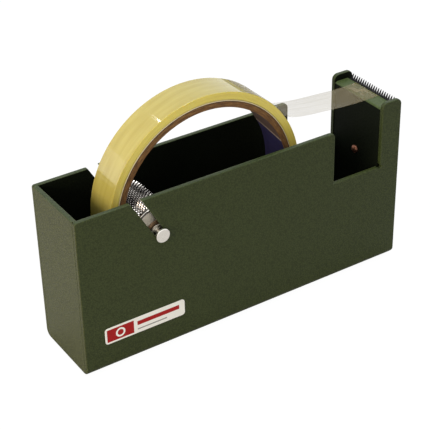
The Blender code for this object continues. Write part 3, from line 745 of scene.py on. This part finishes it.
# %% Folded shell
shell_low, shell_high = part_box("body_shell")
SHEET = 2.0 * MM
HAIR = 0.03 * MM
INNER_Y = shell_high.y - SHEET
FLOOR_TOP = shell_low.z + SHEET
FOLD_TOP = shell_low.z + 3.2 * MM
WELD_X = shell_low.x + 0.2 * MM
NOTCH_X = shell_low.x + 118.0 * MM
NOTCH_TOP = shell_low.z + 0.7 * (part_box("end_plate")[1].z - shell_low.z)
OUTSIDE, INSIDE, RIM, END_PAINTED_LIGHT = range(4)


def shell_finish(face):
    """Which enamel a face of the box has, told by where it lies and where it looks."""
    middle, normal = face.center, face.normal
    # Faces at the closed end get the end enamel, which carries painted light.
    if middle.x < WELD_X:
        return END_PAINTED_LIGHT
    # Inner faces get the near-black enamel, which is painted shade.
    if abs(middle.y) < INNER_Y + HAIR and middle.z > FLOOR_TOP - HAIR and abs(normal.x) < 0.5:
        return INSIDE
    in_notch = middle.x > NOTCH_X and (normal.x < -0.5 or middle.z < NOTCH_TOP)
    if abs(middle.y) > shell_high.y - HAIR or middle.z < FOLD_TOP or in_notch:
        return OUTSIDE
    return RIM


shell = rounded_copy("body_shell", 0.38, 3)
set_down(shell, "folded_box", [green_outside, inside_painted_shade, green_rim, green_end_painted_light])
for face in shell.data.polygons:
    face.material_index = shell_finish(face)
place_in(shell, "box", "body_shell")

# %% [markdown]
# The closed end is a separate plate welded between the panels and ground flush, so it is modelled
# as a block that fills the width. Its top edges are rounded like the panels' edges, and its
# upright corners only a little, which leaves a fine line along each weld.

# %% End plate
end_low, end_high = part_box("end_plate")
PLATE_MIDDLE = ((end_low.x + end_high.x) / 2, 0, (FLOOR_TOP + end_high.z) / 2)
deselect()
bpy.ops.mesh.primitive_cube_add(size=1, location=PLATE_MIDDLE)
end_panel = bpy.context.object
end_panel.scale = (SHEET, 2 * INNER_Y - 0.02 * MM, end_high.z - FLOOR_TOP)
bpy.ops.object.transform_apply(location=True, rotation=True, scale=True)


def top_long_edge(edge):
    first, second = (vert.co for vert in edge.verts)
    return min(first.z, second.z) > end_high.z - HAIR and abs(first.x - second.x) < HAIR


def outer_upright_edge(edge):
    first, second = (vert.co for vert in edge.verts)
    return (abs(abs(first.y) - INNER_Y) < HAIR and max(first.x, second.x) < end_low.x + HAIR
            and abs(first.z - second.z) > 5 * MM)


edit(end_panel, "EDGE")
pick(end_panel, top_long_edge, "edges")
bpy.ops.mesh.bevel(offset=0.38 * MM, segments=3)
pick(end_panel, outer_upright_edge, "edges")
bpy.ops.mesh.bevel(offset=0.10 * MM, segments=2)
finish_edit()
set_down(end_panel, "end_panel", [green_end_painted_light, inside_painted_shade, green_rim])
# Inner face: near-black enamel, painted shade; top: rim enamel; outside: end enamel with painted light.
for face in end_panel.data.polygons:
    face.material_index = 1 if face.normal.x > 0.9 else 2 if face.normal.z > 0.1 else 0
place_in(end_panel, "box", "end_plate")

# %% [markdown]
# ## Cutter
#
# The bracket is a narrow sheet folded over the top between the panels. The blade stands behind it
# and leans outward at its teeth. Screws, nuts and the rivet are small turned pieces whose CAD
# shape is right, and they only need their edges broken.

# %% Bracket
bracket = rounded_copy("cutter_bracket", 0.16, 2, clamp=True)
set_down(bracket, "cutter_platform", [green_platform, inside_painted_shade])
# Faces looking into the box get the near-black enamel, which is painted shade.
for face in bracket.data.polygons:
    facing_in = face.normal.x < -0.6 and face.center.z < bracket_high.z - 1.4 * MM
    between = bracket_low.x + 0.5 * MM < face.center.x < bracket_high.x - 0.5 * MM
    face.material_index = 1 if facing_in or (between and face.normal.z < 0.5) else 0
place_in(bracket, "box", "cutter_bracket")

# %% Blade, fasteners, ballast and feet
blade = rounded_copy("cutter_blade", 0.06, 1)
set_down(blade, "toothed_blade", [blade_black], 25)
place_in(blade, "box", "cutter_blade")

SMALL_PARTS = (
    (("blade_screw_front", "blade_screw_back"), nickel, "nickel_plate", 0.12),
    (("blade_nut_front", "blade_nut_back"), nickel, "nickel_plate", 0.20),
    (("wall_rivet",), copper, "copper_plate", 0.15),
    (("ballast_screw_left", "ballast_screw_right"), nickel, "nickel_plate", 0.12),
    (("ballast_block",), raw_steel, "raw_steel", 0.50),
    (("foot_front_left", "foot_front_right", "foot_back_left", "foot_back_right"),
     rubber, "black_rubber", 0.20))
for nodes_alike, finish, slot, width in SMALL_PARTS:
    for node in nodes_alike:
        piece = rounded_copy(node, width)
        set_down(piece, node + "_fine", [finish])
        place_in(piece, "box", node)

# %% [markdown]
# ## Spindle and roller
#
# The spindle is a plain axle with a turned head at the front and a matching cap at the back. The
# roller turns on it in two bushes, with a washer between each bush and its panel.

# %% Axle and cap
cap_low, cap_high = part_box("axle_cap")
front_face, cap_face = axle_low.y / MM, cap_high.y / MM
HEAD_R, AXLE_R, STUB_R = 3.0, 2.0, 1.3

axle = turned(AXLE_AT, [(front_face, HEAD_R - 0.45), (front_face + 0.06, HEAD_R - 0.25),
                        (front_face + 0.22, HEAD_R - 0.06), (front_face + 0.45, HEAD_R),
                        (front_face + 1.1, HEAD_R), (front_face + 1.2, HEAD_R - 0.1),
                        (front_face + 1.2, AXLE_R), (cap_low.y / MM - 0.1, AXLE_R),
                        (cap_low.y / MM - 0.1, STUB_R), (axle_high.y / MM, STUB_R)], 64)
set_down(axle, "spindle", [nickel])
place_in(axle, "spindle", "spindle_axle")

cap = turned(AXLE_AT, [(cap_low.y / MM, HEAD_R - 0.1), (cap_low.y / MM + 0.1, HEAD_R),
                       (cap_face - 0.45, HEAD_R), (cap_face - 0.22, HEAD_R - 0.06),
                       (cap_face - 0.06, HEAD_R - 0.25), (cap_face, HEAD_R - 0.45)], 64)
set_down(cap, "spindle_cap", [nickel])
place_in(cap, "spindle", "axle_cap")

# %% Washers and bushes
BORE = 2.06
for kind, body, finish, slot, soft in (("washer", "spindle", turned_end, "nickel_plate", 0.15),
                                       ("bush", "roller", bronze, "bronze", 0.30)):
    for side in ("front", "back"):
        node = kind + "_" + side
        low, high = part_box(node)
        near, far, radius = low.y / MM, high.y / MM, (high.z - low.z) / 2 / MM
        start = [(near, BORE), (near, radius - soft),
                 (near + 0.3 * soft, radius - 0.3 * soft), (near + soft, radius)]
        end = [(near + far - along, reach_out) for along, reach_out in reversed(start)]
        piece = turned(AXLE_AT, start + end + [start[0]], 64, ring=True)
        set_down(piece, node + "_ring", [finish])
        place_in(piece, body, node)

# %% [markdown]
# The roller's ends are smooth, with a bright band and a narrow groove where the knurling stops.
# The groove is painted dark as painted shade and the chamfer as a painted dark reflection, so faces
# get their finish by place and direction.

# %% Roller ends
END = drum_high.y / MM
BAND_END, GROOVE_END, KNURL_END = END - 0.6, END - 1.35, END - 1.8
half = [(-END, 4.5), (-END, DRUM_R - 0.6), (-BAND_END - 0.15, DRUM_R - 0.12),
        (-BAND_END + 0.05, DRUM_R - 0.05), (-GROOVE_END - 0.05, DRUM_R - 0.05),
        (-GROOVE_END, DRUM_R - 0.12), (-GROOVE_END + 0.02, DRUM_R - 0.75)]
drum = turned(AXLE_AT, mirrored(half) + [half[0]], 96, ring=True)
set_down(drum, "roller_ends", [nickel, turned_end, painted_dark_nickel])
for face in drum.data.polygons:
    outward = abs(face.normal.y)
    in_groove = abs(face.center.y) / MM < GROOVE_END + 0.03
    face.material_index = 2 if in_groove or 0.5 < outward < 0.9 else 1 if outward > 0.9 else 0
place_in(drum, "roller", "roller_drum")

# %% [markdown]
# The knurl is a lattice of small pyramids. A cylinder is cut into a net of near-square cells, and
# every second point of the net is pushed out. Each cell is then split along its shorter diagonal,
# which joins its two low points, so the grooves run straight as two crossing screws.

# %% Knurl
around = 2 * KNURLS
rows = round(2 * KNURL_END / (2 * pi * DRUM_R / around))
low_r = DRUM_R - KNURL_DEPTH
deselect()
bpy.ops.mesh.primitive_cylinder_add(vertices=around, radius=low_r * MM, depth=2 * KNURL_END * MM,
                                    location=AXLE_AT, rotation=(pi / 2, 0, 0))
knurl = bpy.context.object
bpy.ops.object.transform_apply(location=True, rotation=True, scale=True)
edit(knurl, "EDGE")
pick(knurl, lambda e: abs(e.verts[0].co.y - e.verts[1].co.y) > MM, "edges")
bpy.ops.mesh.subdivide(number_cuts=rows - 1)


def on_peak(vert):
    """True at every second point of the net, less the two rims."""
    column = round(atan2(vert.co.x - AXLE_AT.x, vert.co.z - AXLE_AT.z) / (2 * pi / around))
    row = round((vert.co.y / MM + KNURL_END) / (2 * KNURL_END / rows))
    return 0 < row < rows and (column + row) % 2 == 0


bpy.ops.mesh.select_mode(type="VERT")
pick(knurl, on_peak, "verts")
bpy.ops.transform.resize(value=(DRUM_R / low_r, 1, DRUM_R / low_r), center_override=AXLE_AT)
bpy.ops.mesh.select_mode(type="FACE")
pick(knurl, lambda f: abs(f.normal.y) < 0.95)
bpy.ops.mesh.quads_convert_to_tris(quad_method="SHORTEST_DIAGONAL")
finish_edit()
set_down(knurl, "roller_knurl", [knurled], 0)
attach(knurl, "roller")
print("knurl:", KNURLS, "round,", rows // 2, "along")

# %% [markdown]
# ## Tape roll
#
# The core and the wound tape are two rings. Their ends aren't flat: plies and turns stand a few
# hundredths of a millimetre in or out, which breaks the reflections into rings.

# %% Layered side
HALF_W = TAPE_W / 2 / MM


def layered_side(inner, outer, soft, layers, depth):
    """Half a ring's profile, from its bore out: a slightly uneven side and rounded corners."""
    side = [(-HALF_W + soft, inner), (-HALF_W + 0.3 * soft, inner + 0.3 * soft)]
    for layer in range(layers + 1):
        uneven = depth * (0.5 + 0.5 * sin(2.4 * layer + 0.9 * sin(1.7 * layer)))
        side.append((-HALF_W + uneven, inner + soft + (outer - inner - 2 * soft) * layer / layers))
    return side + [(-HALF_W + 0.3 * soft, outer - 0.3 * soft), (-HALF_W + soft, outer)]


# %% Core and wound tape
core_half = layered_side(CORE_BORE_R / MM, CORE_R / MM, 0.20, 8, 0.06)
core = turned(ROLL_MIDDLE, mirrored(core_half) + [core_half[0]], 160, ring=True)
set_down(core, "card_core", [card_end, card_liner])
for face in core.data.polygons:
    offset = face.center - ROLL_MIDDLE
    if Vector((offset.x, offset.z)).length < CORE_BORE_R + 0.05 * MM:
        face.material_index = 1
place_in(core, "tape_roll", "tape_core")

wound_half = layered_side(CORE_R / MM + 0.1, ROLL_R / MM, 0.22, 10, 0.05)
wound = turned(ROLL_MIDDLE, mirrored(wound_half) + [wound_half[0]], 192, ring=True)
set_down(wound, "wound_tape", [wound_side, wound_face])
for face in wound.data.polygons:
    if abs(face.normal.y) < 0.6:
        face.material_index = 1
place_in(wound, "tape_roll", "tape_wound")

# %% [markdown]
# ## Loose end
#
# The film leaves the roll, sags a little and lies on the platform, where the blade last cut it
# in a zigzag. A flat grid is bent along that path.

# %% The film's path
PEEL, WRAP = radians(34), radians(30)
FILM_T = 0.10
WRAPPED = 0.2
film_r = ROLL_R + 0.10 * MM
peel_x = ROLL_MIDDLE.x + film_r * cos(PEEL)
rest_z = bracket_high.z + (FILM_T / 2 + 0.06) * MM
drop = ROLL_MIDDLE.z + film_r * sin(PEEL) - rest_z
landing_x = bracket_low.x + 1.2 * MM
cut_x = bracket_high.x - 0.4 * MM


def film_point(share):
    """The film's middle line: wrapped on the roll, then free, then on the platform."""
    if share < WRAPPED:
        angle = PEEL + WRAP * (1 - share / WRAPPED)
        return ROLL_MIDDLE.x + film_r * cos(angle), ROLL_MIDDLE.z + film_r * sin(angle)
    run = (share - WRAPPED) / (1 - WRAPPED)
    x = peel_x + (cut_x - peel_x) * run ** 1.35
    free = 1 - min(1.0, (x - peel_x) / (landing_x - peel_x))
    curl = 0.3 * exp((free - 1) / 0.08) * free
    return x, rest_z + drop * (curl + 0.7 * free ** 1.8)


path = [Vector(film_point(WRAPPED + (1 - WRAPPED) * step / 200)) for step in range(201)]
free_length = sum((after - before).length for before, after in zip(path, path[1:]))
print("free film %.1f mm long" % (free_length / MM))

# %% Loose film
COLUMNS, ROWS = 84, 20
TOOTH_CUT, DRIFT = 0.8 * MM, 1.0 * MM
deselect()
bpy.ops.mesh.primitive_grid_add(x_subdivisions=COLUMNS, y_subdivisions=ROWS, size=1)
tail = bpy.context.object
for vert in tail.data.vertices:
    share, across = vert.co.x + 0.5, vert.co.y
    x, z = film_point(share)
    run = max(0.0, (x - peel_x) / (cut_x - peel_x))
    slack = max(0.0, sin(pi * min(1.0, run / 0.85)))
    z += MM * slack * (0.35 * (2 * across) ** 2 + 0.10 * sin(9 * run + 5 * across) - 0.15)
    row = round((across + 0.5) * ROWS)
    if share > 0.999 and row % 2:
        x -= TOOTH_CUT
    vert.co = (x, ROLL_MIDDLE.y + across * TAPE_W + run ** 1.5 * DRIFT, z)
thicken = tail.modifiers.new("thickness", "SOLIDIFY")
thicken.thickness = FILM_T * MM
thicken.offset = 0
bpy.context.view_layer.objects.active = tail
bpy.ops.object.modifier_apply(modifier="thickness")
set_down(tail, "loose_film", [film], 60)
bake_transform(tail)
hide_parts("tape_tail")

# %% [markdown]
# ## Sticker
#
# A printed sticker sits low on the front. Its print is plain: a red field with a ring like a
# tape roll, and a few bars. The print is worked out from the place on the sticker, so it needs no
# picture.

# %% Tools for the print
label_low, label_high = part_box("front_label")
LABEL_MIDDLE = (label_low + label_high) / 2

print_mat, tree, shader = new_material("printed_sticker", 0.35, Specular_IOR_Level=0.15)
sticker_place = add(tree, "ShaderNodeTexCoord")
on_label = add(tree, "ShaderNodeVectorMath", {1: tuple(LABEL_MIDDLE)}, operation="SUBTRACT")
split = add(tree, "ShaderNodeSeparateXYZ")
join(tree, (sticker_place.outputs["Object"], on_label.inputs[0]),
     (on_label.outputs["Vector"], split.inputs[0]))


def within(tree, value, centre, reach):
    """1 where the value is within reach of centre, both in millimetres."""
    distance = calculate(tree, "ABSOLUTE", calculate(tree, "SUBTRACT", value, centre * MM))
    return calculate(tree, "LESS_THAN", distance, reach * MM)


def bar(tree, centre, reach):
    return calculate(tree, "MULTIPLY", within(tree, split.outputs["X"], centre[0], reach[0]),
                     within(tree, split.outputs["Z"], centre[1], reach[1]))


def disc(tree, centre, radius):
    right_of = calculate(tree, "SUBTRACT", split.outputs["X"], centre[0] * MM)
    above = calculate(tree, "SUBTRACT", split.outputs["Z"], centre[1] * MM)
    squared = squared_length(tree, right_of, above)
    return calculate(tree, "LESS_THAN", squared, (radius * MM) ** 2)


# %% Sticker
WHITE, RED, GREY = (0.90, 0.90, 0.85), (0.36, 0.008, 0.008), (0.30, 0.30, 0.29)
colour = mix(tree, bar(tree, (-11.3, 0.0), (6.0, 2.9)), WHITE, RED)
colour = mix(tree, disc(tree, (-11.3, 0.0), 2.1), colour, WHITE)
colour = mix(tree, disc(tree, (-11.3, 0.0), 1.3), colour, RED)
colour = mix(tree, bar(tree, (5.9, 0.9), (9.6, 0.95)), colour, RED)
colour = mix(tree, bar(tree, (3.0, -1.9), (6.7, 0.28)), colour, GREY)
join(tree, (colour, shader.inputs["Base Color"]))

sticker = rounded_copy("front_label", 0.05, 2)
set_down(sticker, "sticker", [print_mat])
place_in(sticker, "box", "front_label")
